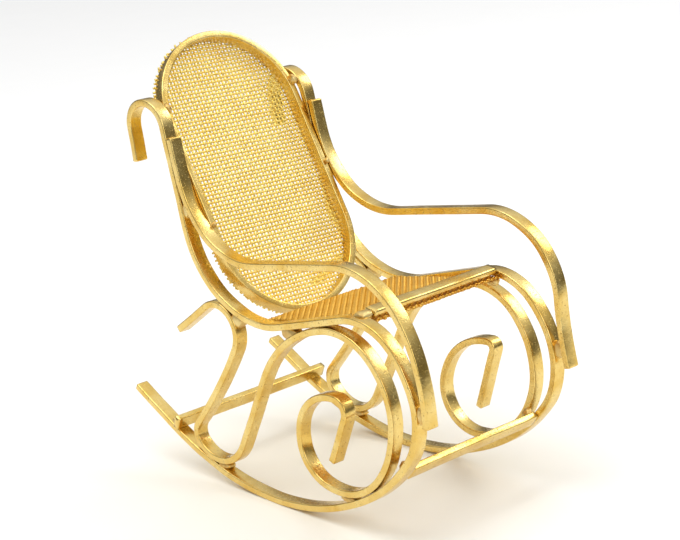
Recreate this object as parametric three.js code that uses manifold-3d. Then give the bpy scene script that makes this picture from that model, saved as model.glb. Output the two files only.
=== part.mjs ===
// Dolls'-house rocking chair, bent from flat brass strip and soldered.
//
// Millimetres, +Z up. The sitter faces -Y; the sitter's right-hand side is -X.
// Every outline is drawn in the chair's side view (y, z) and given its width along X. The finished
// group is then tipped to the angle at which the chair balances on its rockers, and moved so that
// the origin lies under the middle of its box, on the floor.

import * as THREE from 'three';
import { mergeVertices } from 'three/addons/utils/BufferGeometryUtils.js';
import Module from 'manifold-3d';

// ---- Driving dimensions (mm and degrees) ----
const STRIP_WIDTH = 2.7; // the flat strip seen from the front
const STRIP_THICKNESS = 1.4; // the same strip seen edge on, from the side
const SIDE_X = 18; // from the middle plane to the middle of a side frame
const CLEARANCE = 0.05; // left between pieces that the solder joins
const BALANCE_TILT = 6.6875; // how far the seat tips forward at rest, standing on one rocker facet
const FACET_TURN = 7; // the most that a bend turns within one facet
const FACET_LENGTH = 3; // the longest facet of a bend
const BACK_ARC_FACETS = 11; // in each half circle of the back's outline

const BACK_LEAN = 55.5; // the back's slope above the horizontal
const BACK_CROSSING = { y: 31.4, z: 24.2 }; // a point on the back's front plane, beside the hooks
const BACK_TOP = 17.6; // from the crossing up the slope to the top of the back
const BACK_BOTTOM = -41.9; // from the crossing down the slope to the foot of the back

const MESH_THICKNESS = 0.6; // two woven wires deep
const SEAT_FRONT = { y: -24.5, z: 0.85 }; // the seat's front edge, at half its thickness
const SEAT_REAR_Y = 3.5; // where the seat's cut rear edge ends
const SEAT_FALL = 15.9; // how steeply the seat slopes down to the rear

const BAR_CORNER = { y: -24.1, z: 2.6 }; // top front corner of the bar across the seat's front
const BAR_RISE = 3; // the bar's top face climbs rearwards
const BAR_GAP_RIGHT = 1.6; // the bar was cut short and stops this far from the right side frame

const REAR_STRETCHER_FROM_TIP = 14.2; // measured along the rocker from its rear tip
const FRONT_STRETCHER = { y: -34.5, z: -24.8 }; // the middle of its section, between the bows
const FRONT_STRETCHER_SLOPE = 300; // its wide side runs down and rearwards, like the bows
const STRETCHER_OVERHANG = 0.5; // the rear stretcher passes the rockers by this much

const INNER_X = SIDE_X - STRIP_WIDTH / 2; // a side frame's inner face
const OUTER_X = SIDE_X + STRIP_WIDTH / 2;

// ---- The strips, as a list of straights and bends ----
// A bend has the radius of the strip's centre line; a positive turn is anticlockwise with +Y to
// the right and +Z up. A heading is an angle from +Y towards +Z.
const radians = THREE.MathUtils.degToRad;
const straight = (length) => ({ length, turn: 0 });
const bend = (radius, degrees) => ({ length: radius * Math.abs(radians(degrees)), turn: radians(degrees) });

// One strip makes the hook over the back, the upright, the seat rail, the front bow and the rocker.
const FRAME = {
  start: { y: 39.7, z: 16.1 },
  heading: 76,
  pieces: [
    straight(6.5),
    bend(5, 92),
    bend(5.5, 83),
    straight(20.5),
    bend(18.5, -36),
    bend(21.5, -56),
    straight(18),
    bend(13, 65),
    bend(24, 12),
    bend(14.5, 66),
    bend(37, 24),
    bend(57, 46),
    bend(93, 10),
    straight(10),
  ],
};

// A second strip makes the spiral under the seat, the riser, the turn on the rocker and the rear curl.
// The two sides were bent by hand and differ a little.
const SCROLLS = {
  right: {
    start: { y: -17.2, z: -28.4 },
    heading: 108,
    pieces: [
      straight(10),
      bend(2.5, -109),
      bend(10, -77),
      bend(8.5, -93),
      bend(14.5, -64),
      bend(18.5, -38),
      bend(14.5, -46),
      bend(14, -59),
      bend(26.5, -50),
      straight(17.5),
      bend(8.7, 102.5),
      bend(3, 92),
      bend(130, -10),
      bend(5.5, -157),
      straight(11.5),
    ],
  },
  left: {
    start: { y: -20.1, z: -27.6 },
    heading: 103,
    pieces: [
      straight(13),
      bend(1.3, -110),
      bend(13, -76),
      bend(8, -106),
      bend(17, -57),
      bend(15, -32),
      bend(16, -40),
      bend(13.5, -53),
      bend(25.5, -57),
      straight(18),
      bend(8.6, 108),
      bend(3.5, 87),
      bend(135.5, -9),
      bend(6, -163),
      straight(10.5),
    ],
  },
};

// A third strip makes the arm, from the upright to the front bow. The left arm stands higher.
const ARMS = {
  right: {
    start: { y: 29.0, z: 23.3 },
    heading: 251,
    pieces: [
      straight(8),
      bend(21, -12),
      bend(17.5, -74),
      straight(23),
      bend(16, 34),
      bend(18.5, 41),
      bend(35.5, 20),
      straight(3),
    ],
  },
  left: {
    start: { y: 28.9, z: 23.9 },
    heading: 251,
    pieces: [
      straight(6),
      bend(18.5, -44),
      bend(19, -42),
      straight(24.5),
      bend(15.5, 68),
      bend(15.5, 29),
      bend(39, -9),
      straight(6.5),
    ],
  },
};

// ---- Solder ----
// A fillet runs across the strip's width in the notch where two strips part. Its centre and its
// half sizes are in the side view.
const FILLETS = {
  right: {
    arm_top: { y: 24.7, z: 10.0, halfY: 0.9, halfZ: 1.6 },
    arm_front: { y: -39.6, z: -11.3, halfY: 1.0, halfZ: 1.6 },
    scroll_front: { y: -21.6, z: -34.4, halfY: 1.9, halfZ: 0.8 },
    scroll_seat: { y: -5.4, z: -6.7, halfY: 2.2, halfZ: 1.3 },
    scroll_rocker: { y: 14.9, z: -40.9, halfY: 1.5, halfZ: 0.9 },
    scroll_curl: { y: 10.3, z: -8.6, halfY: 1.6, halfZ: 1.3 },
    stretcher_rear: { y: 30.2, z: -37.0, halfY: 0.8, halfZ: 0.8 },
  },
  left: {
    arm_top: { y: 26.0, z: 13.8, halfY: 0.9, halfZ: 1.8 },
    arm_front: { y: -39.5, z: -9.4, halfY: 1.3, halfZ: 1.5 },
    scroll_front: { y: -22.3, z: -34.1, halfY: 1.9, halfZ: 0.8 },
    scroll_seat: { y: -5.1, z: -6.8, halfY: 2.2, halfZ: 1.3 },
    scroll_rocker: { y: 14.8, z: -40.9, halfY: 1.5, halfZ: 0.9 },
    scroll_curl: { y: 11.0, z: -8.4, halfY: 1.6, halfZ: 1.3 },
    stretcher_rear: { y: 30.2, z: -37.0, halfY: 0.8, halfZ: 0.8 },
  },
};
const FILLET_WIDTH = 2.5;
const FILLET_SIDES = 14;

// A lump sits on the inner face of a side frame, where a cross piece meets it: the back at the hook
// and at the arm, the seat at the front, and the stretcher between the front bows. One more fills
// the gap at the short end of the bar.
const LUMPS = {
  right: {
    back_upper: { y: 33.3, z: 27.6, halfX: 0.8, halfY: 1.0, halfZ: 1.0 },
    back_lower: { y: 19.5, z: 7.6, halfX: 0.6, halfY: 0.8, halfZ: 0.8 },
    seat: { y: -23.4, z: -0.1, halfX: 1.0, halfY: 1.3, halfZ: 0.8 },
    stretcher_front: { y: -33.5, z: -24.3, halfX: 0.9, halfY: 1.1, halfZ: 1.1 },
    bar: { y: -22.8, z: 1.95, halfX: 2.0, halfY: 1.1, halfZ: 0.66 },
  },
  left: {
    back_upper: { y: 33.3, z: 27.6, halfX: 0.8, halfY: 1.0, halfZ: 1.0 },
    back_lower: { y: 23.0, z: 12.7, halfX: 0.6, halfY: 0.8, halfZ: 0.8 },
    seat: { y: -23.4, z: -0.1, halfX: 1.0, halfY: 1.3, halfZ: 0.8 },
    stretcher_front: { y: -33.5, z: -24.3, halfX: 0.9, halfY: 1.1, halfZ: 1.1 },
  },
};
const LUMP_SET_IN = 0.5; // from the frame's inner face to a lump's centre
const LUMP_SIDES = 10;
const LUMP_BANDS = 6;

// ---- Materials ----
function metal(name, color, roughness) {
  const material = new THREE.MeshStandardMaterial({ color, roughness, metalness: 1 });
  material.name = name;
  return material;
}

const STRIP_BRASS = metal('strip brass', 0xd8c57c, 0.32);
const WIRE_BRASS = metal('woven wire', 0xb99a55, 0.45);
const SOLDER = metal('solder', 0xcfc6a0, 0.4);

// ---- Centre lines ----
// Walks along the straights and bends, and returns the stations between facets.
function centreLine({ start, heading, pieces }) {
  let { y, z } = start;
  let angle = radians(heading);
  const stations = [{ y, z, angle }];
  for (const { length, turn } of pieces) {
    const bendFacets = Math.max(Math.abs(turn) / radians(FACET_TURN), length / FACET_LENGTH);
    const facets = turn === 0 ? 1 : Math.ceil(bendFacets);
    const step = turn / facets;
    const arc = length / facets;
    const chord = turn === 0 ? arc : (arc * Math.sin(step / 2)) / (step / 2);
    for (let facet = 0; facet < facets; facet += 1) {
      y += chord * Math.cos(angle + step / 2);
      z += chord * Math.sin(angle + step / 2);
      angle += step;
      stations.push({ y, z, angle });
    }
  }
  return stations;
}

// The station at a distance along the strip, measured back from its last end.
function stationFromEnd({ start, heading, pieces }, distance) {
  const total = pieces.reduce((sum, piece) => sum + piece.length, 0);
  let left = total - distance;
  const walked = [];
  for (const { length, turn } of pieces) {
    const share = Math.min(1, left / length);
    walked.push({ length: length * share, turn: turn * share });
    left -= length;
    if (left <= 0) break;
  }
  return centreLine({ start, heading, pieces: walked }).at(-1);
}

// A point beside a station: positive distances are to the left of its heading.
function beside({ y, z, angle }, distance) {
  return new THREE.Vector2(y - distance * Math.sin(angle), z + distance * Math.cos(angle));
}

// ---- Solids ----
// Takes a shape drawn in (y, z) and extruded along its own z, and stands it across the chair.
function acrossChair(shape, width, x) {
  const geometry = new THREE.ExtrudeGeometry(shape, { depth: width, bevelEnabled: false, steps: 1 });
  geometry.translate(0, 0, x - width / 2);
  const toSideView = new THREE.Matrix4().makeBasis(
    new THREE.Vector3(0, 1, 0),
    new THREE.Vector3(0, 0, 1),
    new THREE.Vector3(1, 0, 0),
  );
  return geometry.applyMatrix4(toSideView);
}

// A bent strip, thicker and wider by twice `extra` when it is used to cut solder.
function stripGeometry(strip, x, extra = 0) {
  const stations = centreLine(strip);
  const half = STRIP_THICKNESS / 2 + extra;
  const leftSide = stations.map((station) => beside(station, half));
  const rightSide = stations.map((station) => beside(station, -half));
  const outline = new THREE.Shape([...rightSide, ...leftSide.reverse()]);
  return acrossChair(outline, STRIP_WIDTH + 2 * extra, x);
}

// A straight bar across the chair, given by the middle of its section and that section's slope.
function barGeometry({ x = 0, y, z, slope, along, across, length, extra = 0 }) {
  const geometry = new THREE.BoxGeometry(length + 2 * extra, along + 2 * extra, across + 2 * extra);
  geometry.rotateX(slope);
  geometry.translate(x, y, z);
  return geometry;
}

// Stands a shape drawn in (x, distance up the back) on the back's slope; depths run rearwards.
function onBackSlope(shape, depth, setBack) {
  const geometry = new THREE.ExtrudeGeometry(shape, {
    depth,
    bevelEnabled: false,
    curveSegments: BACK_ARC_FACETS,
  });
  geometry.translate(0, 0, -setBack - depth);
  const lean = radians(BACK_LEAN);
  geometry.rotateX(lean);
  geometry.translate(0, BACK_CROSSING.y, BACK_CROSSING.z);
  return geometry;
}

// The outline of the back: two straight sides and two half circles.
function racetrack(path, halfWidth, bottom, top) {
  path.absarc(0, top - halfWidth, halfWidth, 0, Math.PI, false);
  path.absarc(0, bottom + halfWidth, halfWidth, Math.PI, 2 * Math.PI, false);
  path.closePath();
  return path;
}

function backLoopGeometry(extra = 0) {
  const halfWidth = INNER_X - CLEARANCE + extra;
  const outline = racetrack(new THREE.Shape(), halfWidth, BACK_BOTTOM - extra, BACK_TOP + extra);
  const inset = STRIP_THICKNESS + 2 * extra;
  const opening = racetrack(
    new THREE.Path(),
    halfWidth - inset,
    BACK_BOTTOM - extra + inset,
    BACK_TOP + extra - inset,
  );
  outline.holes.push(opening);
  return onBackSlope(outline, STRIP_WIDTH + 2 * extra, -extra);
}

function backMeshGeometry(extra = 0) {
  const halfWidth = INNER_X - CLEARANCE + extra;
  const outline = racetrack(new THREE.Shape(), halfWidth, BACK_BOTTOM - extra, BACK_TOP + extra);
  return onBackSlope(outline, MESH_THICKNESS + 2 * extra, STRIP_WIDTH + CLEARANCE - extra);
}

function seatMeshGeometry(extra = 0) {
  const fall = radians(SEAT_FALL);
  const run = (SEAT_REAR_Y - SEAT_FRONT.y) / Math.cos(fall);
  return barGeometry({
    y: SEAT_FRONT.y + (run / 2) * Math.cos(fall),
    z: SEAT_FRONT.z - (run / 2) * Math.sin(fall),
    slope: -fall,
    along: run,
    across: MESH_THICKNESS,
    length: 2 * (INNER_X - CLEARANCE),
    extra,
  });
}

function seatBarGeometry(extra = 0) {
  const rise = radians(BAR_RISE);
  const halfWide = STRIP_WIDTH / 2;
  const halfThick = STRIP_THICKNESS / 2;
  return barGeometry({
    x: (BAR_GAP_RIGHT - CLEARANCE) / 2,
    y: BAR_CORNER.y + halfWide * Math.cos(rise) + halfThick * Math.sin(rise),
    z: BAR_CORNER.z + halfWide * Math.sin(rise) - halfThick * Math.cos(rise),
    slope: rise,
    along: STRIP_WIDTH,
    across: STRIP_THICKNESS,
    length: 2 * INNER_X - CLEARANCE - BAR_GAP_RIGHT,
    extra,
  });
}

// The rear stretcher stands on its thin edge on top of both rockers.
function rearStretcherGeometry(extra = 0) {
  const foot = stationFromEnd(FRAME, REAR_STRETCHER_FROM_TIP);
  const middle = beside(foot, STRIP_THICKNESS / 2 + CLEARANCE + STRIP_WIDTH / 2);
  return barGeometry({
    y: middle.x,
    z: middle.y,
    slope: foot.angle,
    along: STRIP_THICKNESS,
    across: STRIP_WIDTH,
    length: 2 * (OUTER_X + STRETCHER_OVERHANG),
    extra,
  });
}

// The front stretcher butts against the inner faces of both front bows.
function frontStretcherGeometry(extra = 0) {
  return barGeometry({
    y: FRONT_STRETCHER.y,
    z: FRONT_STRETCHER.z,
    slope: radians(FRONT_STRETCHER_SLOPE),
    along: STRIP_WIDTH,
    across: STRIP_THICKNESS,
    length: 2 * (INNER_X - CLEARANCE),
    extra,
  });
}

// ---- Solder solids ----
const MERGE_DISTANCE = 1e-4; // corners nearer than this become one
const wasm = await Module();
wasm.setup();

function toManifold(geometry) {
  const bare = geometry.clone();
  bare.deleteAttribute('normal');
  bare.deleteAttribute('uv');
  const merged = mergeVertices(bare, MERGE_DISTANCE);
  const vertProperties = new Float32Array(merged.attributes.position.array);
  const triVerts = new Uint32Array(merged.index.array);
  return new wasm.Manifold(new wasm.Mesh({ numProp: 3, vertProperties, triVerts }));
}

// What is left of a blob once the pieces it joins, with their clearance, are taken out of it.
function cutFree(blob, cutters) {
  let body = toManifold(blob);
  for (const cutter of cutters) body = body.subtract(toManifold(cutter));
  const { vertProperties, triVerts } = body.getMesh();
  const geometry = new THREE.BufferGeometry();
  geometry.setAttribute('position', new THREE.BufferAttribute(vertProperties, 3));
  geometry.setIndex(new THREE.BufferAttribute(triVerts, 1));
  return geometry;
}

function filletBlob({ y, z, halfY, halfZ }, x) {
  const points = [];
  for (let corner = 0; corner < FILLET_SIDES; corner += 1) {
    const angle = (2 * Math.PI * corner) / FILLET_SIDES;
    points.push(new THREE.Vector2(y + halfY * Math.cos(angle), z + halfZ * Math.sin(angle)));
  }
  return acrossChair(new THREE.Shape(points), FILLET_WIDTH, x);
}

function lumpBlob({ y, z, halfX, halfY, halfZ }, x) {
  const geometry = new THREE.SphereGeometry(1, LUMP_SIDES, LUMP_BANDS);
  geometry.scale(halfX, halfY, halfZ);
  geometry.translate(x, y, z);
  return geometry;
}

// ---- Assembly ----
const chair = new THREE.Group();

function addPiece(name, geometry, material) {
  const mesh = new THREE.Mesh(geometry, material);
  mesh.name = name;
  chair.add(mesh);
}

for (const [side, x] of [
  ['right', -SIDE_X],
  ['left', SIDE_X],
]) {
  const strips = { frame: FRAME, scroll: SCROLLS[side], arm: ARMS[side] };
  for (const [part, strip] of Object.entries(strips)) {
    addPiece(`${part}_${side}`, stripGeometry(strip, x), STRIP_BRASS);
  }

  const stripCutters = Object.values(strips).map((strip) => stripGeometry(strip, x, CLEARANCE));
  const filletCutters = [...stripCutters, rearStretcherGeometry(CLEARANCE)];
  for (const [joint, fillet] of Object.entries(FILLETS[side])) {
    addPiece(
      `solder_${joint}_${side}`,
      cutFree(filletBlob(fillet, x), filletCutters),
      SOLDER,
    );
  }

  const crossPieces = [
    backLoopGeometry(CLEARANCE),
    backMeshGeometry(CLEARANCE),
    seatMeshGeometry(CLEARANCE),
    seatBarGeometry(CLEARANCE),
    frontStretcherGeometry(CLEARANCE),
  ];
  const lumpX = Math.sign(x) * (INNER_X - LUMP_SET_IN);
  for (const [joint, lump] of Object.entries(LUMPS[side])) {
    const blob = lumpBlob(lump, lumpX);
    addPiece(
      `solder_${joint}_${side}`,
      cutFree(blob, [...stripCutters, ...crossPieces]),
      SOLDER,
    );
  }
}

addPiece('back_loop', backLoopGeometry(), STRIP_BRASS);
addPiece('back_mesh', backMeshGeometry(), WIRE_BRASS);
addPiece('seat_mesh', seatMeshGeometry(), WIRE_BRASS);
addPiece('seat_front_bar', seatBarGeometry(), STRIP_BRASS);
addPiece('stretcher_front', frontStretcherGeometry(), STRIP_BRASS);
addPiece('stretcher_rear', rearStretcherGeometry(), STRIP_BRASS);

chair.rotation.x = radians(BALANCE_TILT);
const box = new THREE.Box3().setFromObject(chair, true);
chair.position.set(0, -(box.min.y + box.max.y) / 2, -box.min.z);

const model = new THREE.Group();
model.add(chair);

export default model;
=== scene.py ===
# %% [markdown]
# # A dolls'-house rocking chair in bent brass strip
# The chair is soldered up from one kind of flat strip, bent by hand into long curves, with a back
# and a seat cut from woven wire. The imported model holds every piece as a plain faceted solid. This
# notebook makes the smooth, worn and woven surfaces that stand for them, exactly where they lie.

# %% Load the fixed frame
import math

import bpy
import numpy as np
from mathutils import Matrix, Vector


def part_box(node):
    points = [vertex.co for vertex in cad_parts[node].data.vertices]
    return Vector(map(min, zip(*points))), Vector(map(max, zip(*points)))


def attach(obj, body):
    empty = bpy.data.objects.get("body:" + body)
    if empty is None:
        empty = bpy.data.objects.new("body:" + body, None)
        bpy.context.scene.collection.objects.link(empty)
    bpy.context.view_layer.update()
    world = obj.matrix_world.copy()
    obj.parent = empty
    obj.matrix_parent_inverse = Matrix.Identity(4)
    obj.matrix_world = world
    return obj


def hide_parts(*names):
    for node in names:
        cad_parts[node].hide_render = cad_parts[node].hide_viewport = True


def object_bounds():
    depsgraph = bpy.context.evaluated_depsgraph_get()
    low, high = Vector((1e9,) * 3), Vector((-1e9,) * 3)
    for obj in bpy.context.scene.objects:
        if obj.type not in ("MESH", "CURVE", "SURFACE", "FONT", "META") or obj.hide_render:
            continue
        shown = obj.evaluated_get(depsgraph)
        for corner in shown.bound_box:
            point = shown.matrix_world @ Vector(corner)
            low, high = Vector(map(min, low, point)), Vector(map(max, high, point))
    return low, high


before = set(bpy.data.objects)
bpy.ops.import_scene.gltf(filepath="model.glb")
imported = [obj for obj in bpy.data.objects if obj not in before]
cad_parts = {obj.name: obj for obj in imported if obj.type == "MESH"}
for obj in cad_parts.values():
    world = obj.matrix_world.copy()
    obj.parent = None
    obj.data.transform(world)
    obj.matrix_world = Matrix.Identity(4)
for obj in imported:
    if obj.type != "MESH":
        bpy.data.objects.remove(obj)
cad_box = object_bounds()
print("the packed model has", len(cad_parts), "nodes, in a box", cad_box)

# %% [markdown]
# ## From the drawing to the floor
# Every bend is easiest to describe in the chair's side view, in millimetres, with the seat as the
# reference. On the floor the chair tips forward until it balances. One function does both steps:
# it turns a drawn point by the balance angle and moves it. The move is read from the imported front
# bar, whose middle is known in both places, so nothing has to be fitted by eye.

# %% Drawing units and the place on the floor
MM = 0.001
TILT = math.radians(6.6875)
STRIP_WIDTH = 2.7
STRIP_THICKNESS = 1.4
SIDE_X = 18.0
INNER_X = SIDE_X - STRIP_WIDTH / 2
BAR_CORNER = (-24.1, 2.6)
BAR_RISE = math.radians(3)


def turned(points):
    """Turns drawn points (x, y, z) about the X axis by the balance angle."""
    x, y, z = np.moveaxis(np.asarray(points, float), -1, 0)
    c, s = math.cos(TILT), math.sin(TILT)
    return np.stack([x, y * c - z * s, y * s + z * c], -1)


def bar_middle():
    """Middle of the front bar's section: its corner, plus half a width along its slope, less half a
    thickness across it."""
    c, s = math.cos(BAR_RISE), math.sin(BAR_RISE)
    half_wide, half_thick = STRIP_WIDTH / 2, STRIP_THICKNESS / 2
    return (
        BAR_CORNER[0] + half_wide * c + half_thick * s,
        BAR_CORNER[1] + half_wide * s - half_thick * c,
    )


bar_low, bar_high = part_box("seat_front_bar")
bar_place = (np.array(bar_low) + np.array(bar_high)) / 2
MOVE = bar_place - turned((bar_place[0] / MM, *bar_middle())) * MM


def on_floor(points):
    """A drawn point in millimetres, as a place in metres on the floor."""
    return turned(points) * MM + MOVE


print("the drawing is moved by", np.round(MOVE * 1000, 2), "mm")

# %% [markdown]
# ## The centre line of a bent strip
# A wire bender works with straights and bends, so the drawing does too. A bend has a radius and a
# turn in degrees, anticlockwise with the back to the right. Walking along such a list needs no
# spline: a bend's points lie on a circle, and its heading grows in step with the distance.

# %% Straights and bends
STATION_GAP = 0.45


def straight(length):
    """A straight stretch: its length, and no turn."""
    return length, 0.0


def bend(radius, degrees):
    """A bend: the length of its arc, which is radius times turn, and the turn in radians."""
    turn = math.radians(degrees)
    return radius * abs(turn), turn


def centre_line(start, heading, pieces):
    """Points (y, z), headings and distances along the strip. On a bend of turn T over length L the
    point moves by L / T times the change in the sine and cosine of the heading."""
    y, z = start
    angle = math.radians(heading)
    done = 0.0
    rows = [np.array([[y, z, angle, done]])]
    for length, turn in pieces:
        share = np.linspace(0, 1, max(2, math.ceil(length / STATION_GAP) + 1))[1:]
        headings = angle + turn * share
        if turn:
            ys = y + length / turn * (np.sin(headings) - math.sin(angle))
            zs = z - length / turn * (np.cos(headings) - math.cos(angle))
        else:
            ys = y + length * share * math.cos(angle)
            zs = z + length * share * math.sin(angle)
        rows.append(np.stack([ys, zs, headings, done + length * share], -1))
        y, z, angle, done = ys[-1], zs[-1], headings[-1], done + length
    return np.concatenate(rows)


quarter_turn = centre_line((0.0, 0.0), 0, [bend(10, 90)])
print("a quarter turn of 10 mm radius ends at", np.round(quarter_turn[-1, :2], 3))

# %% [markdown]
# ## What the maker bent
# One strip makes the hook, the upright, the seat rail, the front bow and the rocker. A second makes
# the spiral, the riser, the turn on the rocker and the curl behind. A third makes the arm. The two
# sides follow one pattern but differ as handwork does: the left arm stands higher.

# %% The bending lists
FRAME_BENDS = ((39.7, 16.1), 76, [
    straight(6.5), bend(5, 92), bend(5.5, 83), straight(20.5), bend(18.5, -36), bend(21.5, -56),
    straight(18), bend(13, 65), bend(24, 12), bend(14.5, 66), bend(37, 24), bend(57, 46),
    bend(93, 10), straight(10),
])
SCROLL_BENDS = {
    "right": ((-17.2, -28.4), 108, [
        straight(10), bend(2.5, -109), bend(10, -77), bend(8.5, -93), bend(14.5, -64),
        bend(18.5, -38), bend(14.5, -46), bend(14, -59), bend(26.5, -50), straight(17.5),
        bend(8.7, 102.5), bend(3, 92), bend(130, -10), bend(5.5, -157), straight(11.5),
    ]),
    "left": ((-20.1, -27.6), 103, [
        straight(13), bend(1.3, -110), bend(13, -76), bend(8, -106), bend(17, -57),
        bend(15, -32), bend(16, -40), bend(13.5, -53), bend(25.5, -57), straight(18),
        bend(8.6, 108), bend(3.5, 87), bend(135.5, -9), bend(6, -163), straight(10.5),
    ]),
}
ARM_BENDS = {
    "right": ((29.0, 23.3), 251, [
        straight(8), bend(21, -12), bend(17.5, -74), straight(23), bend(16, 34), bend(18.5, 41),
        bend(35.5, 20), straight(3),
    ]),
    "left": ((28.9, 23.9), 251, [
        straight(6), bend(18.5, -44), bend(19, -42), straight(24.5), bend(15.5, 68),
        bend(15.5, 29), bend(39, -9), straight(6.5),
    ]),
}
print("the frame strip is", round(centre_line(*FRAME_BENDS)[-1, 3]), "mm long before bending")

# %% [markdown]
# ## From a grid of points to a closed mesh
# Every new piece is one or more tubes: rings of points, one ring after another. Blender could sweep
# a curve with a bevel, but a numpy grid gives full control of the section, the wear and the pattern
# coordinates. The same few lines of index arithmetic serve one strip or ninety wires. A tube that
# doesn't run back into itself is closed at each end by a fan of triangles round a middle point.

# %% A mesh from rings
def tube_mesh(name, rings, along, around, looped=False):
    """Builds one object from rings[tube, station, side, xyz]. The UV map holds the distance along
    the tube and the distance around it, in millimetres, from along[station] and around[side]."""
    tubes, stations, sides, _ = rings.shape
    corner = np.arange(tubes * stations * sides).reshape(tubes, stations, sides)
    last = stations if looped else stations - 1
    here, ahead = corner[:, :last], np.roll(corner, -1, 1)[:, :last]
    quads = np.stack([here, np.roll(here, -1, 2), np.roll(ahead, -1, 2), ahead], -1).reshape(-1, 4)
    u0 = np.broadcast_to(along[None, :last, None], here.shape)
    u1 = np.broadcast_to(along[None, 1:last + 1, None], here.shape)
    v0 = np.broadcast_to(around[None, None, :-1], here.shape)
    v1 = np.broadcast_to(around[None, None, 1:], here.shape)
    quad_uv = np.stack([u0, v0, u0, v1, u1, v1, u1, v0], -1).reshape(-1, 2)
    points = rings.reshape(-1, 3)
    loops, starts = [quads.ravel()], [np.arange(len(quads)) * 4]
    uvs = [quad_uv]
    if not looped:
        for end, order in ((0, -1), (stations - 1, 1)):
            middles = len(points) + np.arange(tubes)
            points = np.concatenate([points, rings[:, end].mean(1)])
            rim, following = corner[:, end], np.roll(corner[:, end], -1, 1)
            fan = np.stack([rim, following, np.broadcast_to(middles[:, None], rim.shape)][::order], -1)
            starts.append(np.arange(fan.size // 3) * 3 + sum(len(part) for part in loops))
            loops.append(fan.ravel())
            uvs.append(np.broadcast_to([along[end], 0.0], (fan.size, 2)))
    loops, starts, uvs = np.concatenate(loops), np.concatenate(starts), np.concatenate(uvs)
    return mesh_object(name, points, loops, starts, uvs)


def mesh_object(name, points, loops, starts, uvs):
    """Writes the arrays into a new mesh, with every face turned outwards."""
    sizes = np.diff(np.append(starts, len(loops)))
    a, b, c = (points[loops[starts + k]] for k in range(3))
    d = points[loops[starts + np.minimum(sizes - 1, 3)]]
    volume = (np.einsum("ij,ij->i", a, np.cross(b, c)) + np.einsum("ij,ij->i", a, np.cross(c, d))).sum()
    if volume < 0:
        flip = np.repeat(starts * 2 + sizes - 1, sizes) - np.arange(len(loops))
        loops, uvs = loops[flip], uvs[flip]
    mesh = bpy.data.meshes.new(name)
    mesh.vertices.add(len(points))
    mesh.vertices.foreach_set("co", points.astype(np.float32).ravel())
    mesh.loops.add(len(loops))
    mesh.loops.foreach_set("vertex_index", loops.astype(np.int32))
    mesh.polygons.add(len(starts))
    mesh.polygons.foreach_set("loop_start", starts.astype(np.int32))
    mesh.uv_layers.new(name="strip").uv.foreach_set("vector", uvs.astype(np.float32).ravel())
    mesh.update(calc_edges=True)
    mesh.validate()
    mesh.shade_smooth()
    piece = bpy.data.objects.new(name, mesh)
    bpy.context.scene.collection.objects.link(piece)
    return piece


print("tubes and meshes can be made")

# %% [markdown]
# ## The section of the strip
# Rolled strip isn't sharp: its corners are rounded by rolling and by the plater's tumbling barrel.
# The section is a rectangle with a quarter circle at each corner. Points crowd into the corners,
# where the highlight runs, and each flat needs only its two ends and a point between.

# %% A rounded section
CORNER_RADIUS = 0.24
CORNER_STEPS = 5


def rounded_section(width, thickness, radius=CORNER_RADIUS):
    """Points (across, outwards) round a rectangle with quarter-circle corners, anticlockwise, and
    the distance round it to each point, back to the first."""
    quarter = np.linspace(0, math.pi / 2, CORNER_STEPS)
    signs = np.array([(1, 1), (-1, 1), (-1, -1), (1, -1)])
    middles = signs * (width / 2 - radius, thickness / 2 - radius)
    angles = quarter + np.arange(4)[:, None] * math.pi / 2
    arcs = middles[:, None] + radius * np.stack([np.cos(angles), np.sin(angles)], -1)
    halfway = (arcs[:, -1] + np.roll(arcs, -1, 0)[:, 0]) / 2
    points = np.concatenate([arcs, halfway[:, None]], 1).reshape(-1, 2)
    gaps = np.linalg.norm(np.roll(points, -1, 0) - points, axis=1)
    return points, np.concatenate([[0], np.cumsum(gaps)])


print("one section has", len(rounded_section(STRIP_WIDTH, STRIP_THICKNESS)[0]), "points")

# %% [markdown]
# ## Handwork
# Strip bent over a former never lies quite flat. Each strip wanders sideways by a few hundredths of
# a millimetre, its section swells and thins a little, and its cut ends are filed to a small bevel.
# The wander is a sum of three slow sine waves with seeded phases, so it is the same every time.

# %% Sweep the section along a strip
END_BEVEL = 0.16
SIDE_WANDER = 0.10
SIDE_WANDER_LENGTH = 38.0
WAVE_TOTAL = 1.83  # about 1 + 1/2 + 1/3
SWELL = 0.012
SWELL_LENGTH = 9.0
TWIST = 0.014
TWIST_LENGTH = 47.0


def wander(distance, seed, longest):
    """A smooth wavering between about -1 and 1: three sine waves, each shorter and weaker, over the
    sum of their heights."""
    phases = np.random.default_rng(seed).uniform(0, 2 * math.pi, 3)
    waves = [np.sin(2 * math.pi * distance / (longest / k**1.4) + phases[k - 1]) / k for k in (1, 2, 3)]
    return sum(waves) / WAVE_TOTAL


def with_filed_ends(line):
    """Adds a station close inside each end, and gives how far the section shrinks at every station:
    by the bevel at the two ends and by nothing between."""
    share = min(1.0, END_BEVEL / float(np.linalg.norm(line[1, :2] - line[0, :2])))
    second = line[:1] + (line[1:2] - line[:1]) * share
    last_but_one = line[-1:] + (line[-2:-1] - line[-1:]) * share
    filed = np.concatenate([line[:1], second, line[1:-1], last_but_one, line[-1:]])
    bevel = np.zeros((len(filed), 1))
    bevel[[0, -1]] = END_BEVEL
    return filed, bevel


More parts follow.
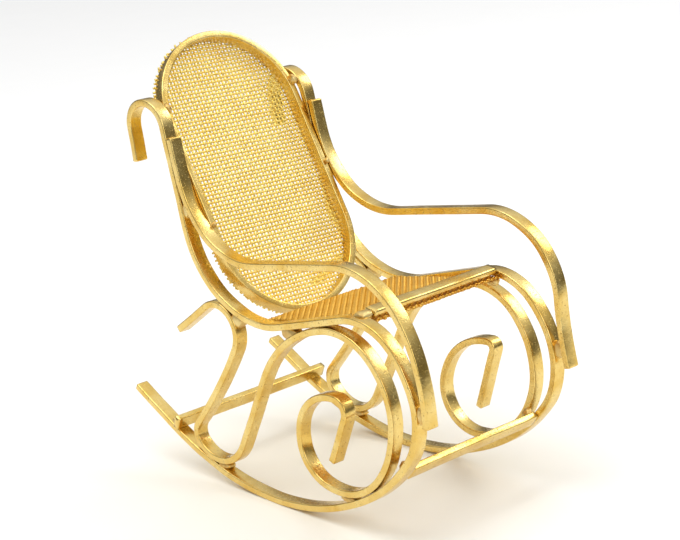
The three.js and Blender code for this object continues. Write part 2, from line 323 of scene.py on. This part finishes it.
def bent_strip(name, x, bends, seed):
    """Carries the section along the centre line: each ring is the section laid out across the chair
    and along the normal, which is the heading turned by a quarter. A slow twist tips the section by
    adding a little of the way across to the way outwards."""
    line, bevel = with_filed_ends(centre_line(*bends))
    section, around = rounded_section(STRIP_WIDTH, STRIP_THICKNESS)
    y, z, heading, distance = line.T
    sideways = x + SIDE_WANDER * wander(distance, seed, SIDE_WANDER_LENGTH)
    swell = 1 + SWELL * wander(distance, seed + 1, SWELL_LENGTH)
    twist = TWIST * wander(distance, seed + 2, TWIST_LENGTH)
    across = section[:, 0] * swell[:, None] - np.sign(section[:, 0]) * bevel
    outwards = section[:, 1] - np.sign(section[:, 1]) * bevel + twist[:, None] * across
    ring_x = sideways[:, None] + across
    ring_y = y[:, None] - outwards * np.sin(heading)[:, None]
    ring_z = z[:, None] + outwards * np.cos(heading)[:, None]
    rings = on_floor(np.stack([ring_x, ring_y, ring_z], -1))[None]
    return tube_mesh(name, rings, distance, around)


filed_line, _ = with_filed_ends(centre_line(*FRAME_BENDS))
print("the frame strip has", len(filed_line), "rings, and wanders by about", SIDE_WANDER, "mm")

# %% [markdown]
# ## The side frames
# Six strips make the two sides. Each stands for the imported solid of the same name, and rides on the
# chair's one rigid body, because nothing on a rocking chair turns: the whole chair rolls.

# %% Make the six side strips
BODY = "root"


def finish_piece(piece, nodes):
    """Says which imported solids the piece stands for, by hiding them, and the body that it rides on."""
    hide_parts(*nodes)
    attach(piece, BODY)
    return piece


strips = []
for number, (side, side_x) in enumerate((("right", -SIDE_X), ("left", SIDE_X))):
    for order, (part, bends) in enumerate((
        ("frame", FRAME_BENDS), ("scroll", SCROLL_BENDS[side]), ("arm", ARM_BENDS[side]),
    )):
        piece = bent_strip(f"{part}_strip_{side}", side_x, bends, 100 * number + 10 * order + 7)
        strips.append(finish_piece(piece, [f"{part}_{side}"]))
        print(piece.name, len(piece.data.polygons), "faces")

# %% [markdown]
# ## The cross pieces
# The bar across the seat's front and the two stretchers are straight lengths of the same strip,
# laid across the chair. They use the same section and the same filed ends, swept along X. Where
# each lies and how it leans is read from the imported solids' boxes and the rocker's own heading.

# %% Straight strips across the chair
CROSS_STATIONS = 40
BOW_LENGTH = 60.0


def cross_strip(name, node, lean, wide_side, corner_radius, seed):
    """Sweeps the section along X through the middle of a packed bar, with a slight bow. `lean` is the
    slope of the section's first side; `wide_side` says whether that side is the strip's width."""
    low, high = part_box(node)
    middle = (np.array(low) + np.array(high)) / 2
    sizes = (STRIP_WIDTH, STRIP_THICKNESS) if wide_side else (STRIP_THICKNESS, STRIP_WIDTH)
    section, around = rounded_section(*sizes, corner_radius)
    half_length = (high[0] - low[0]) / 2 / MM
    inner = half_length - END_BEVEL
    places = np.linspace(-inner, inner, CROSS_STATIONS)
    places = np.concatenate([[-half_length], places, [half_length]])
    bevel = np.zeros((len(places), 1))
    bevel[[0, -1]] = END_BEVEL
    first = section[:, 0] - np.sign(section[:, 0]) * bevel
    second = section[:, 1] - np.sign(section[:, 1]) * bevel
    bow = SIDE_WANDER * wander(places, seed, BOW_LENGTH)[:, None]
    c, s = math.cos(lean), math.sin(lean)
    ring_y = (first + bow) * c - second * s
    ring_z = (first + bow) * s + second * c
    ring_x = np.broadcast_to(places[:, None], ring_y.shape)
    rings = middle + np.stack([ring_x, ring_y, ring_z], -1) * MM
    return tube_mesh(name, rings[None], places - places[0], around)


def heading_from_tip(distance):
    """The frame strip's heading at a distance back from its last end."""
    line = centre_line(*FRAME_BENDS)
    return float(np.interp(line[-1, 3] - distance, line[:, 3], line[:, 2]))


REAR_STRETCHER_FROM_TIP = 14.2
FRONT_SLOPE = math.radians(300)
BAR_CORNER_RADIUS = 0.5
rear_slope = heading_from_tip(REAR_STRETCHER_FROM_TIP)
for name, node, slope, wide_side, corner_radius in (
    ("seat_bar", "seat_front_bar", BAR_RISE, True, BAR_CORNER_RADIUS),
    ("rear_stretcher", "stretcher_rear", rear_slope, False, CORNER_RADIUS),
    ("front_stretcher", "stretcher_front", FRONT_SLOPE, True, CORNER_RADIUS),
):
    piece = cross_strip(name, node, slope + TILT, wide_side, corner_radius, 300 + len(name))
    strips.append(finish_piece(piece, [node]))
    print(piece.name, [round(v * 1000, 1) for v in piece.dimensions])

# %% [markdown]
# ## The back's rim
# The rim is one strip bent into a racetrack, two straight sides and two half circles, and soldered
# shut. It stands in a plane of its own that leans back. A function gives the outline's point and
# outward direction for any distance round it, and another lays that plane's points in the chair.

# %% The racetrack and its plane
BACK_LEAN = math.radians(55.5)
BACK_CROSSING = (31.4, 24.2)
BACK_TOP = 17.6
BACK_BOTTOM = -41.9
RIM_GAP = 0.05
RIM_RADIUS = INNER_X - RIM_GAP
RIM_SIDE = BACK_TOP - BACK_BOTTOM - 2 * RIM_RADIUS
RIM_STATIONS = 360
RIM_WAVER = 0.035


def on_back(x, up, rearwards):
    """A point given across the back, up its slope, and rearwards from its front face."""
    c, s = math.cos(BACK_LEAN), math.sin(BACK_LEAN)
    y = BACK_CROSSING[0] + up * c + rearwards * s
    z = BACK_CROSSING[1] + up * s - rearwards * c
    return on_floor(np.stack(np.broadcast_arrays(x, y, z), -1))


def racetrack(distance, radius):
    """The point (x, up) and the outward direction at a distance round a racetrack: up the right side,
    round the top, down the left side and round the foot."""
    half_lap = RIM_SIDE + math.pi * radius
    low, high = BACK_BOTTOM + RIM_RADIUS, BACK_TOP - RIM_RADIUS
    lap = np.mod(distance, 2 * half_lap)
    second = lap >= half_lap
    lap = np.where(second, lap - half_lap, lap)
    angle = np.clip((lap - RIM_SIDE) / radius, 0, math.pi) + np.where(second, math.pi, 0)
    climb = np.minimum(lap, RIM_SIDE)
    middle_up = np.where(second, high - climb, low + climb)
    direction = np.stack([np.cos(angle), np.sin(angle)], -1)
    return np.stack([0 * middle_up, middle_up], -1) + radius * direction, direction


def back_rim():
    """The section carried round the racetrack: its thickness lies along the outward direction and its
    width runs rearwards. The line is the middle of the strip's thickness. A sine with three waves to
    a lap moves it rearwards and back."""
    radius = RIM_RADIUS - STRIP_THICKNESS / 2
    lap = 2 * (RIM_SIDE + math.pi * radius)
    distance = np.linspace(0, lap, RIM_STATIONS)
    outline, direction = racetrack(distance[:-1], radius)
    section, around = rounded_section(STRIP_WIDTH, STRIP_THICKNESS)
    waver = RIM_WAVER * np.sin(2 * math.pi * distance[:-1] / lap * 3 + 0.8)
    x = outline[:, :1] + section[:, 1] * direction[:, :1]
    up = outline[:, 1:] + section[:, 1] * direction[:, 1:]
    rearwards = STRIP_WIDTH / 2 + section[:, 0] + waver[:, None]
    return tube_mesh("back_rim", on_back(x, up, rearwards)[None], distance, around, looped=True)


strips.append(finish_piece(back_rim(), ["back_loop"]))
print("the rim has", len(strips[-1].data.polygons), "faces")

# %% [markdown]
# ## Woven wire
# The back and the seat are plain weave: every wire passes over one and under the next. A texture
# could fake it, but the weave catches the light wire by wire and shows through against the floor,
# so each wire is made. The wires are thick for their spacing and pressed into each other at the
# crossings, as in a rolled mesh. Height above the sheet's middle is a cosine along the wire that
# changes sign from one wire to the next, and the crossing wires use the opposite sign. The wires are
# clipped to the outline they were cut to, with small random overhangs where the snips left them
# ragged.

# %% Clip wires to an outline and weave them
WIRE_PITCH = 0.80
WIRE_RADIUS = 0.225
WEAVE_RISE = 0.12
WIRE_SIDES = 6
WIRE_DRIFT = 0.05
DRIFT_RATE = 0.19  # radians of the drift's sine per millimetre
STATIONS_PER_CROSSING = 3
OUTLINE_SAMPLES = 900
ANY_PHASE = 6.28  # random phases run up to a whole turn


def spans(points_at, signed_distance, reach, wires):
    """For each wire, where it enters and leaves the outline: the first and last of many samples at
    which the signed distance is negative."""
    along = np.linspace(-reach, reach, OUTLINE_SAMPLES)
    inside = signed_distance(points_at(wires[:, None], along[None])) < 0
    kept = inside.any(1)
    first = along[inside.argmax(1)]
    last = along[inside.shape[1] - 1 - inside[:, ::-1].argmax(1)]
    return wires[kept], first[kept], last[kept]


def woven_wires(name, place, signed_distance, reach, turn, upright, overhang, seed):
    """All the wires of one direction as one piece. `place` lays sheet coordinates (a, b, height) in
    the chair, `turn` is the weave's angle on the sheet, and `overhang` gives the extra length at an
    end from its place and a random share. A wire's height is the rise times the cosine of half a turn
    per pitch, and each wire drifts aside by a long sine."""
    random = np.random.default_rng(seed)
    c, s = math.cos(turn), math.sin(turn)

    def points_at(wire, along):
        first, second = (wire, along) if upright else (along, wire)
        return np.stack(np.broadcast_arrays(first * c - second * s, first * s + second * c), -1)

    count = math.ceil(reach / WIRE_PITCH)
    numbers = np.arange(-count, count + 1)
    wires, first, last = spans(points_at, signed_distance, reach, numbers * WIRE_PITCH)
    first = first - overhang(points_at(wires, first), random.random(len(wires)))
    last = last + overhang(points_at(wires, last), random.random(len(wires)))
    stations = math.ceil((last - first).max() / WIRE_PITCH * STATIONS_PER_CROSSING)
    share = np.linspace(0, 1, stations)
    along = first[:, None] + (last - first)[:, None] * share
    phases = random.uniform(0, ANY_PHASE, len(wires))[:, None]
    drift = WIRE_DRIFT * np.sin(along * DRIFT_RATE + phases)
    parity = np.where(np.round(wires / WIRE_PITCH) % 2 == 0, 1.0, -1.0)[:, None]
    height = WEAVE_RISE * parity * np.cos(math.pi * along / WIRE_PITCH) * (1 if upright else -1)
    angle = np.arange(WIRE_SIDES) * 2 * math.pi / WIRE_SIDES
    centre = points_at(wires[:, None] + drift, along)[:, :, None]
    aside = np.array([c, s] if upright else [-s, c])
    flat = centre + aside * (WIRE_RADIUS * np.cos(angle))[:, None]
    lifted = height[:, :, None] + WIRE_RADIUS * np.sin(angle)
    rings = place(flat[..., 0], flat[..., 1], lifted)
    around = np.linspace(0, 2 * math.pi * WIRE_RADIUS, WIRE_SIDES + 1)
    return tube_mesh(name, rings, share * float((last - first).max()), around)


print("wires of", 2 * WIRE_RADIUS, "mm lie", WIRE_PITCH, "mm apart")

# %% [markdown]
# ## The back's mesh
# The sheet is soldered to the rear edge of the rim and cut roughly to it, a little too big. Between
# the uprights there is no room to stick out, but above the hooks the cut ends show past the rim.

# %% Weave the back
MESH_THICKNESS = 0.6
BACK_MESH_GAP = 0.02
BACK_MESH_INSET = 0.12
BACK_WEAVE_TURN = math.radians(-2.5)
BACK_REACH = 34.0
BACK_MIDDLE = (BACK_TOP + BACK_BOTTOM) / 2
FREE_FROM, FREE_TO = 2.0, 6.0  # heights on the slope
CLOSE_TRIM = 0.12
FREE_TRIM = 0.75


def back_outline(points):
    """Distance outside the racetrack: to the line between its two centres, less the radius."""
    up = points[..., 1] - np.clip(points[..., 1], -RIM_SIDE / 2, RIM_SIDE / 2)
    return np.hypot(points[..., 0], up) - (RIM_RADIUS - BACK_MESH_INSET)


def back_place(a, b, height):
    """Sheet coordinates on the back: the sheet's middle lies just behind the rim's rear edge."""
    behind = STRIP_WIDTH + BACK_MESH_GAP + MESH_THICKNESS / 2
    return on_back(a, BACK_MIDDLE + b, behind + height)


def back_overhang(points, share):
    """Up to 0.75 mm where the rim stands free, and next to nothing between the uprights."""
    free = np.clip((points[:, 1] + BACK_MIDDLE - FREE_FROM) / (FREE_TO - FREE_FROM), 0, 1)
    return share * (CLOSE_TRIM + (FREE_TRIM - CLOSE_TRIM) * free)


back_wires = [
    woven_wires(f"back_wires_{kind}", back_place, back_outline, BACK_REACH, BACK_WEAVE_TURN, upright,
                back_overhang, seed)
    for kind, upright, seed in (("upright", True, 41), ("across", False, 42))
]
for piece in back_wires:
    finish_piece(piece, ["back_mesh"])
    print(piece.name, len(piece.data.polygons), "faces")

# %% [markdown]
# ## The seat's mesh
# The seat is the same weave, cut to the gap between the rails, tucked under the front bar and cut
# square behind, well short of the back. It slopes down towards the back.

# %% Weave the seat
SEAT_FRONT = (-24.5, 0.85)
SEAT_REAR_Y = 3.5
SEAT_FALL = math.radians(15.9)
SEAT_RUN = (SEAT_REAR_Y - SEAT_FRONT[0]) / math.cos(SEAT_FALL)
SEAT_WEAVE_TURN = math.radians(1.5)
SEAT_REACH = 24.0
SEAT_MESH_INSET = 0.15
RAGGED_DEPTH = 1.0
RAGGED_TRIM = 0.7


def seat_outline(points):
    """Distance outside a rectangle, by its worse side."""
    across = np.abs(points[..., 0]) - (INNER_X - SEAT_MESH_INSET)
    deep = np.abs(points[..., 1]) - SEAT_RUN / 2
    return np.maximum(across, deep)


def seat_place(a, b, height):
    """Sheet coordinates on the seat: a straight run that falls rearwards from the front edge."""
    run = b + SEAT_RUN / 2
    y = SEAT_FRONT[0] + run * math.cos(SEAT_FALL) + height * math.sin(SEAT_FALL)
    z = SEAT_FRONT[1] - run * math.sin(SEAT_FALL) + height * math.cos(SEAT_FALL)
    return on_floor(np.stack(np.broadcast_arrays(a, y, z), -1))


def seat_overhang(points, share):
    """Ragged at the front, where the snips went, and trimmed close elsewhere."""
    front = points[:, 1] < -SEAT_RUN / 2 + RAGGED_DEPTH
    return share * np.where(front, RAGGED_TRIM, CLOSE_TRIM)


seat_wires = [
    woven_wires(f"seat_wires_{kind}", seat_place, seat_outline, SEAT_REACH, SEAT_WEAVE_TURN, upright,
                seat_overhang, seed)
    for kind, upright, seed in (("deep", True, 51), ("across", False, 52))
]
for piece in seat_wires:
    finish_piece(piece, ["seat_mesh"])
    print(piece.name, len(piece.data.polygons), "faces")

# %% [markdown]
# ## Solder
# At every joint a little solder ran into the notch and froze as a soft lump, then was plated with
# the rest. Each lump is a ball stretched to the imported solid's box, with slow waves that make it
# uneven. It sinks a little into the strips that it joins, which is what makes it look run in. The
# two low on the back swell less, since the solder there has run almost flat.

# %% Make the solder lumps
LUMP_RINGS = 22
LUMP_SIDES = 32
LUMP_SWELL = 1.16
LOW_BACK_SWELL = 0.75
BROAD_WAVE, FINE_WAVE = 0.10, 0.06
WIDE_LUMP = 1.1  # half a width past which a lump is squared off
POLE_GAP = 0.04


def solder_lump(name, node, seed):
    """A ball by two angles, squared off across the chair where it fills the strip's width, stretched
    to the box of its solid and swollen by a sum of slow waves in both angles. Squaring off raises the
    cosine and the sine of the first angle to powers below 1."""
    low, high = (np.array(corner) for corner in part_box(node))
    middle, half = (low + high) / 2, (high - low) / 2
    phases = np.random.default_rng(seed).uniform(0, ANY_PHASE, 4)
    polar = np.linspace(POLE_GAP, math.pi - POLE_GAP, LUMP_RINGS)[:, None]
    angle = (np.arange(LUMP_SIDES) * 2 * math.pi / LUMP_SIDES)[None]
    swell = LOW_BACK_SWELL if "back_lower" in node else LUMP_SWELL
    swell = swell + BROAD_WAVE * np.sin(3 * polar + phases[0]) * np.cos(2 * angle + phases[1])
    swell = swell + FINE_WAVE * np.sin(7 * polar + phases[2]) * np.cos(4 * angle + phases[3])
    wide = half[0] > WIDE_LUMP * MM
    along_power, girth_power, end_swell = (0.45, 0.7, 1.0) if wide else (1.0, 1.0, swell)
    along = np.sign(np.cos(polar)) * np.abs(np.cos(polar)) ** along_power
    girth = np.sin(polar) ** girth_power
    x = middle[0] + half[0] * along * end_swell
    y = middle[1] + half[1] * girth * np.cos(angle) * swell
    z = middle[2] + half[2] * girth * np.sin(angle) * swell
    rings = np.stack(np.broadcast_arrays(x, y, z), -1)[None]
    size = float(half.max() * 2 / MM)
    along_mm = np.linspace(0, size, LUMP_RINGS)
    return tube_mesh(name, rings, along_mm, np.linspace(0, math.pi * size, LUMP_SIDES + 1))


solder = []
for seed, node in enumerate(sorted(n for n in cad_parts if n.startswith("solder_"))):
    piece = solder_lump(f"{node}_lump", node, 500 + seed)
    solder.append(finish_piece(piece, [node]))
print(len(solder), "solder lumps")

# %% [markdown]
# ## Shader maths as expressions
# A finish is a small calculation at every point of the surface. Wrapping a socket in a class with
# the usual operators lets it be written as one: `0.3 + 0.2 * grain` adds its own Math nodes. Other
# nodes come from one method, which sets the node up before it fills in its sockets.

# %% A socket that can be added and multiplied
def set_stops(ramp, stops):
    """Gives a colour ramp its stops, each a place and a shade of grey."""
    while len(ramp.elements) < len(stops):
        ramp.elements.new(1.0)
    for element, (place, shade) in zip(ramp.elements, stops):
        element.position = place
        element.color = (shade, shade, shade, 1.0)


class Signal:
    """A number that changes over the surface: the output socket that carries it."""

    def __init__(self, finish, socket):
        self.finish = finish
        self.socket = socket

    def combine(self, operation, first, second):
        return self.finish.add("ShaderNodeMath", {"operation": operation}, {0: first, 1: second})

    def __add__(self, other):
        return self.combine("ADD", self, other)

    def __radd__(self, other):
        return self.combine("ADD", other, self)

    def __sub__(self, other):
        return self.combine("SUBTRACT", self, other)

    def __rsub__(self, other):
        return self.combine("SUBTRACT", other, self)

    def __mul__(self, other):
        return self.combine("MULTIPLY", self, other)

    def __rmul__(self, other):
        return self.combine("MULTIPLY", other, self)


class Finish:
    """A material whose nodes are added one at a time."""

    def __init__(self, name):
        self.material = bpy.data.materials.new(name)
        self.material.use_nodes = True
        self.nodes = self.material.node_tree.nodes
        self.links = self.material.node_tree.links
        self.shader = self.nodes["Principled BSDF"]

    def add(self, kind, settings=None, sockets=None, output=0):
        """Adds a node: first its settings, then its sockets' values or links."""
        node = self.nodes.new(kind)
        for key, value in (settings or {}).items():
            if key == "stops":
                set_stops(node.color_ramp, value)
            else:
                setattr(node, key, value)
        for key, value in (sockets or {}).items():
            self.fill(node.inputs[key], value)
        return Signal(self, node.outputs[output])

    def fill(self, socket, value):
        """Links a signal to a socket, or sets the socket's own value."""
        if isinstance(value, Signal):
            self.links.new(value.socket, socket)
        else:
            socket.default_value = value

    def set(self, socket, value):
        self.fill(self.shader.inputs[socket], value)

    def raise_surface(self, height, strength, distance):
        """Feeds a height through a Bump node to the surface's normal."""
        sockets = {"Strength": strength, "Distance": distance, "Height": height}
        self.set("Normal", self.add("ShaderNodeBump", None, sockets))

    def noise(self, where, scale, detail, roughness):
        sockets = {"Vector": where, "Scale": scale, "Detail": detail, "Roughness": roughness}
        return self.add("ShaderNodeTexNoise", None, sockets)

    def stretched(self, where, scale):
        return self.add("ShaderNodeMapping", None, {"Vector": where, "Scale": scale})

    def ramp(self, value, stops):
        return self.add("ShaderNodeValToRGB", {"stops": stops}, {"Fac": value})

    def mix(self, share, first, second):
        settings = {"data_type": "RGBA", "clamp_factor": True}
        return self.add("ShaderNodeMix", settings, {0: share, 6: first, 7: second}, output=2)

    def coordinates(self, output):
        return self.add("ShaderNodeTexCoord", None, None, output=output)


print("shader helpers are ready")

# %% [markdown]
# ## Pale gold plate on strip
# The plating is a pale, slightly green gold. It is brightest on flats that were rubbed, goes towards
# brown where polishing compound stayed, and shows drawing lines along the strip. Slow noise on
# object coordinates gives the patches, and noise stretched along the UV map's length gives the
# lines. Fine pits come from a second, tighter noise cut off by a ramp.

# %% The strip's finish
OBJECT, UV = "Object", "UV"
PALE_GOLD = (0.86, 0.66, 0.25, 1.0)
DEEP_GOLD = (0.74, 0.49, 0.12, 1.0)
PIT_BROWN = (0.30, 0.18, 0.05, 1.0)


def strip_finish():
    """Two golds mixed by patches and darkened in the pits. Roughness and height are weighted sums of
    the patches, lines, waves, grit and pits."""
    finish = Finish("pale gold plate on strip")
    place = finish.coordinates(OBJECT)
    strip = finish.coordinates(UV)
    patches = finish.noise(place, 190.0, 3.0, 0.6)
    cloud = finish.ramp(patches, [(0.36, 0.0), (0.66, 1.0)])
    lines = finish.noise(finish.stretched(strip, (0.35, 9.0, 1.0)), 1.0, 4.0, 0.65)
    waves = finish.noise(place, 420.0, 2.0, 0.5)
    pits = finish.ramp(finish.noise(place, 2600.0, 2.0, 0.6), [(0.62, 0.0), (0.72, 1.0)])
    grit = finish.noise(place, 1500.0, 4.0, 0.7)
    worn = finish.mix(cloud, DEEP_GOLD, PALE_GOLD)
    finish.set("Base Color", finish.mix(pits * 0.6, worn, PIT_BROWN))
    finish.set("Metallic", 1.0)
    finish.set("Roughness", 0.13 + 0.09 * cloud + 0.12 * lines + 0.25 * pits)
    height = 0.6 * lines + 1.4 * waves + 0.6 * grit - 0.8 * pits
    finish.raise_surface(height, strength=0.45, distance=0.05 * MM)
    return finish.material


strip_plate = strip_finish()
print(strip_plate.name, "takes", len(strip_plate.node_tree.nodes), "nodes")

# %% [markdown]
# ## Plate on woven wire, and on solder
# The wire is rounder and drawn finer than the strip, and its plating lies thicker in the crossings,
# so it reads as a deeper yellow. The seat's wire is given browner, darker golds than the back's: this
# is painted shade, for the dimmer light that the seat gets under the arms. Solder never takes a
# polish: it is paler, rough, and dimpled.

# %% The wire's and the solder's finishes
BACK_WIRE_GOLDS = (0.92, 0.66, 0.14, 1.0), (0.98, 0.82, 0.28, 1.0)
# The seat's golds are darker than the back's: painted shade for the dimmer light under the arms.
SEAT_WIRE_SHADED_GOLDS = (0.66, 0.34, 0.05, 1.0), (0.84, 0.53, 0.11, 1.0)
SOLDER_GOLD = (0.80, 0.62, 0.26, 1.0)
SOLDER_STAIN = (0.60, 0.36, 0.10, 1.0)


def wire_finish(name, deep, pale):
    """Two golds mixed by wide patches, with faint drawing lines along each wire."""
    finish = Finish(name)
    place = finish.coordinates(OBJECT)
    wire = finish.coordinates(UV)
    patches = finish.ramp(finish.noise(place, 240.0, 3.0, 0.6), [(0.15, 0.0), (0.85, 1.0)])
    drawn = finish.noise(finish.stretched(wire, (2.0, 12.0, 1.0)), 1.0, 2.0, 0.5)
    finish.set("Base Color", finish.mix(patches, deep, pale))
    finish.set("Metallic", 1.0)
    finish.set("Roughness", 0.22 + 0.12 * patches + 0.12 * drawn)
    finish.raise_surface(drawn, strength=0.2, distance=0.02 * MM)
    return finish.material


def solder_finish():
    """A pale gold with brown stains, and dimples that roughen and dent it."""
    finish = Finish("gold plate on solder")
    place = finish.coordinates(OBJECT)
    dimples = finish.noise(place, 900.0, 4.0, 0.6)
    stain = finish.ramp(finish.noise(place, 500.0, 2.0, 0.5), [(0.4, 0.0), (0.7, 1.0)])
    finish.set("Base Color", finish.mix(stain, SOLDER_GOLD, SOLDER_STAIN))
    finish.set("Metallic", 1.0)
    finish.set("Roughness", 0.30 + 0.25 * dimples)
    finish.raise_surface(dimples, strength=0.8, distance=0.12 * MM)
    return finish.material


for group, material in (
    (strips, strip_plate),
    (back_wires, wire_finish("gold plate on the back's wire", *BACK_WIRE_GOLDS)),
    # the seat's wire takes the darker golds, which are painted shade
    (seat_wires, wire_finish("gold plate on the seat's wire, with painted shade", *SEAT_WIRE_SHADED_GOLDS)),
    (solder, solder_finish()),
):
    for piece in group:
        piece.data.materials.append(material)
    print(material.name, "on", len(group), "pieces")

# %% [markdown]
# ## Floor and light
# Polished metal is a picture of its surroundings, so the light matters as much as the finish. A wide
# sheet of pale paper fills the lower half of most reflections. A little way in front of the chair its
# colour is painted down to grey, as painted shade where the paper falls away into shadow, so the faces
# that look forwards show grey-olive bands, and those bands are what makes the strip read as metal.
# Under the chair the paper is painted slightly warm: painted light standing for the light that the
# gold throws down on it.

# %% The floor
PAPER_HALF = 2.4
PAPER_WHITES = (0.95, 0.95, 0.945, 1.0), (0.97, 0.97, 0.965, 1.0)
# A warm white painted under the chair as bounce light from the gold, and a grey painted in front of it as
# shade.
PAINTED_BOUNCE_WHITE = (0.97, 0.93, 0.80, 1.0)
PAINTED_SHADE_GREY = (0.16, 0.16, 0.155, 1.0)
PAINTED_BOUNCE_SCALE = 10.0


def pale_floor():
    """A flat square sheet. Its colour is white, warmed near the chair's middle as painted bounce light
    from the gold, and darkened to grey in front of it as painted shade, each through a ramp."""
    corners = [(-1, -1, 0), (1, -1, 0), (1, 1, 0), (-1, 1, 0)]
    mesh = bpy.data.meshes.new("floor")
    mesh.from_pydata([(x * PAPER_HALF, y * PAPER_HALF, z) for x, y, z in corners], [], [(0, 1, 2, 3)])
    floor = bpy.data.objects.new("floor", mesh)
    bpy.context.scene.collection.objects.link(floor)
    finish = Finish("pale paper")
    place = finish.coordinates(OBJECT)
    fibres = finish.noise(place, 60.0, 3.0, 0.5)
    plain = finish.mix(fibres, *PAPER_WHITES)
    reach = finish.add("ShaderNodeVectorMath", {"operation": "LENGTH"}, {0: place}, output=1)
    # Painted bounce light: the paper is warmer near the chair's middle.
    painted_bounce = finish.ramp(reach * PAINTED_BOUNCE_SCALE, [(0.15, 1.0), (0.75, 0.0)])
    with_painted_bounce = finish.mix(0.7 * painted_bounce, plain, PAINTED_BOUNCE_WHITE)
    rearwards = finish.add("ShaderNodeSeparateXYZ", None, {0: place}, output=1)
    # Painted shade: the paper turns grey in front of the chair.
    painted_shade_ahead = finish.ramp(-1.0 * rearwards, [(0.20, 0.0), (0.45, 1.0)])
    finish.set("Base Color", finish.mix(painted_shade_ahead, with_painted_bounce, PAINTED_SHADE_GREY))
    finish.set("Roughness", 0.9)
    mesh.materials.append(finish.material)


pale_floor()
print("the paper is", 2 * PAPER_HALF, "m wide")

# %% [markdown]
# ## The room
# A polished strip shows the whole room, so the room has a shape: a dim band at the height of the
# walls and a pale ceiling. A ramp on the direction's height is enough, and needs no walls.

# %% A ramp for the room
ROOM_STOPS = [(0.0, 0.12), (0.22, 0.20), (0.5, 0.72), (1.0, 1.15)]


def room_light():
    """A room that is bright overhead and dark at the sides: a ramp on the direction's height."""
    world = bpy.data.worlds.new("studio")
    world.use_nodes = True
    bpy.context.scene.world = world
    nodes, links = world.node_tree.nodes, world.node_tree.links
    direction = nodes.new("ShaderNodeTexCoord")
    split = nodes.new("ShaderNodeSeparateXYZ")
    ramp = nodes.new("ShaderNodeValToRGB")
    set_stops(ramp.color_ramp, ROOM_STOPS)
    links.new(direction.outputs["Generated"], split.inputs[0])
    links.new(split.outputs["Z"], ramp.inputs["Fac"])
    links.new(ramp.outputs["Color"], nodes["Background"].inputs["Color"])


room_light()
print("the room goes from", ROOM_STOPS[0][1], "at the walls to", ROOM_STOPS[-1][1], "overhead")

# %% [markdown]
# ## The lamps
# Three large round panels give the long highlights: one nearly overhead, one to the right, and one
# in front that lights the woven wire. Their shadows are faint and wide. Smaller lamps would draw
# hard lines that the light here lacks.

# %% Three soft panels
def soft_panel(name, place, target, size, power):
    """A round lamp at a place, turned to face a target."""
    lamp = bpy.data.lights.new(name, "AREA")
    lamp.shape = "DISK"
    lamp.size = size
    lamp.energy = power
    panel = bpy.data.objects.new(name, lamp)
    panel.location = place
    panel.rotation_euler = (Vector(target) - Vector(place)).to_track_quat("-Z", "Y").to_euler()
    bpy.context.scene.collection.objects.link(panel)


chair_middle = (Vector(cad_box[0]) + Vector(cad_box[1])) / 2
for name, place, size, power in (
    ("overhead panel", (-0.25, 0.10, 0.70), 0.50, 1.5),
    ("side panel", (0.60, -0.20, 0.55), 0.35, 1.5),
    ("front panel", (-0.25, -0.75, 0.40), 0.60, 1.6),
):
    soft_panel(name, place, chair_middle, size, power)
    print(name, "of", size, "m and", power, "W")
bpy.context.scene.view_settings.view_transform = "Standard"

# %% [markdown]
# ## Camera
# A long lens looks down at the chair's right front. Its direction is given in the drawing, where it
# was worked out from the chair's own straight and parallel strips, and is turned with the chair.

# %% The camera
CAMERA_AZIMUTH = math.radians(-42.5)
CAMERA_ELEVATION = math.radians(21.0)
CAMERA_DISTANCE = 362.0
CAMERA_TARGET = (-1.35, 0.0, 0.0)
LENS_IN_WIDTHS = 1900 / 680
SENSOR = 36.0


def add_camera():
    """Three axes from two angles: backwards, to the right, and up as their cross product."""
    a, e = CAMERA_AZIMUTH, CAMERA_ELEVATION
    back = np.array([math.sin(a) * math.cos(e), -math.cos(a) * math.cos(e), math.sin(e)])
    right = np.array([math.cos(a), math.sin(a), 0.0])
    axes = turned(np.stack([right, np.cross(back, right), back]))
    lens = bpy.data.cameras.new("camera")
    lens.sensor_width = SENSOR
    lens.lens = LENS_IN_WIDTHS * SENSOR
    lens.clip_start = 0.01
    camera = bpy.data.objects.new("camera", lens)
    camera.matrix_world = Matrix(axes.T).to_4x4()
    camera.location = on_floor(np.array(CAMERA_TARGET) + back * CAMERA_DISTANCE)
    bpy.context.scene.collection.objects.link(camera)
    bpy.context.scene.camera = camera
    print("camera at", [round(v, 3) for v in camera.location])


add_camera()
